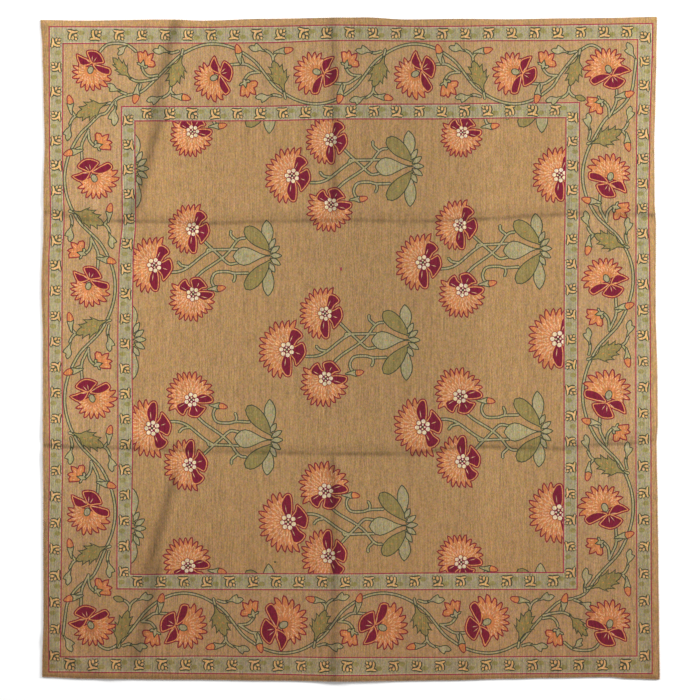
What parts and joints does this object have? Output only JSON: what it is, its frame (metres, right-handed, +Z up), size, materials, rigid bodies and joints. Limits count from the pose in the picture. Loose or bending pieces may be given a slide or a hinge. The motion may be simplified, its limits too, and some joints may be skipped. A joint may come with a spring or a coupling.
{
  "type": "soumak rug",
  "caption": "Nearly square flat-woven wool rug with flower sprays, a vine border and narrow guard stripes, laid out with soft fold creases.",
  "frame": {"origin": "on the floor under the middle of the rug's bounding box", "axes": "+Z up, +Y along the rug's longer side towards its head, +X to the right of it"},
  "size_m": [2.769, 2.972, 0.0136],
  "materials": {
    "wool": "matt wool, wrapped weave in camel, sage, olive, orange, crimson and cream"
  },
  "bodies": {
    "root": {"rug": "wool"}
  },
  "joints": []
}
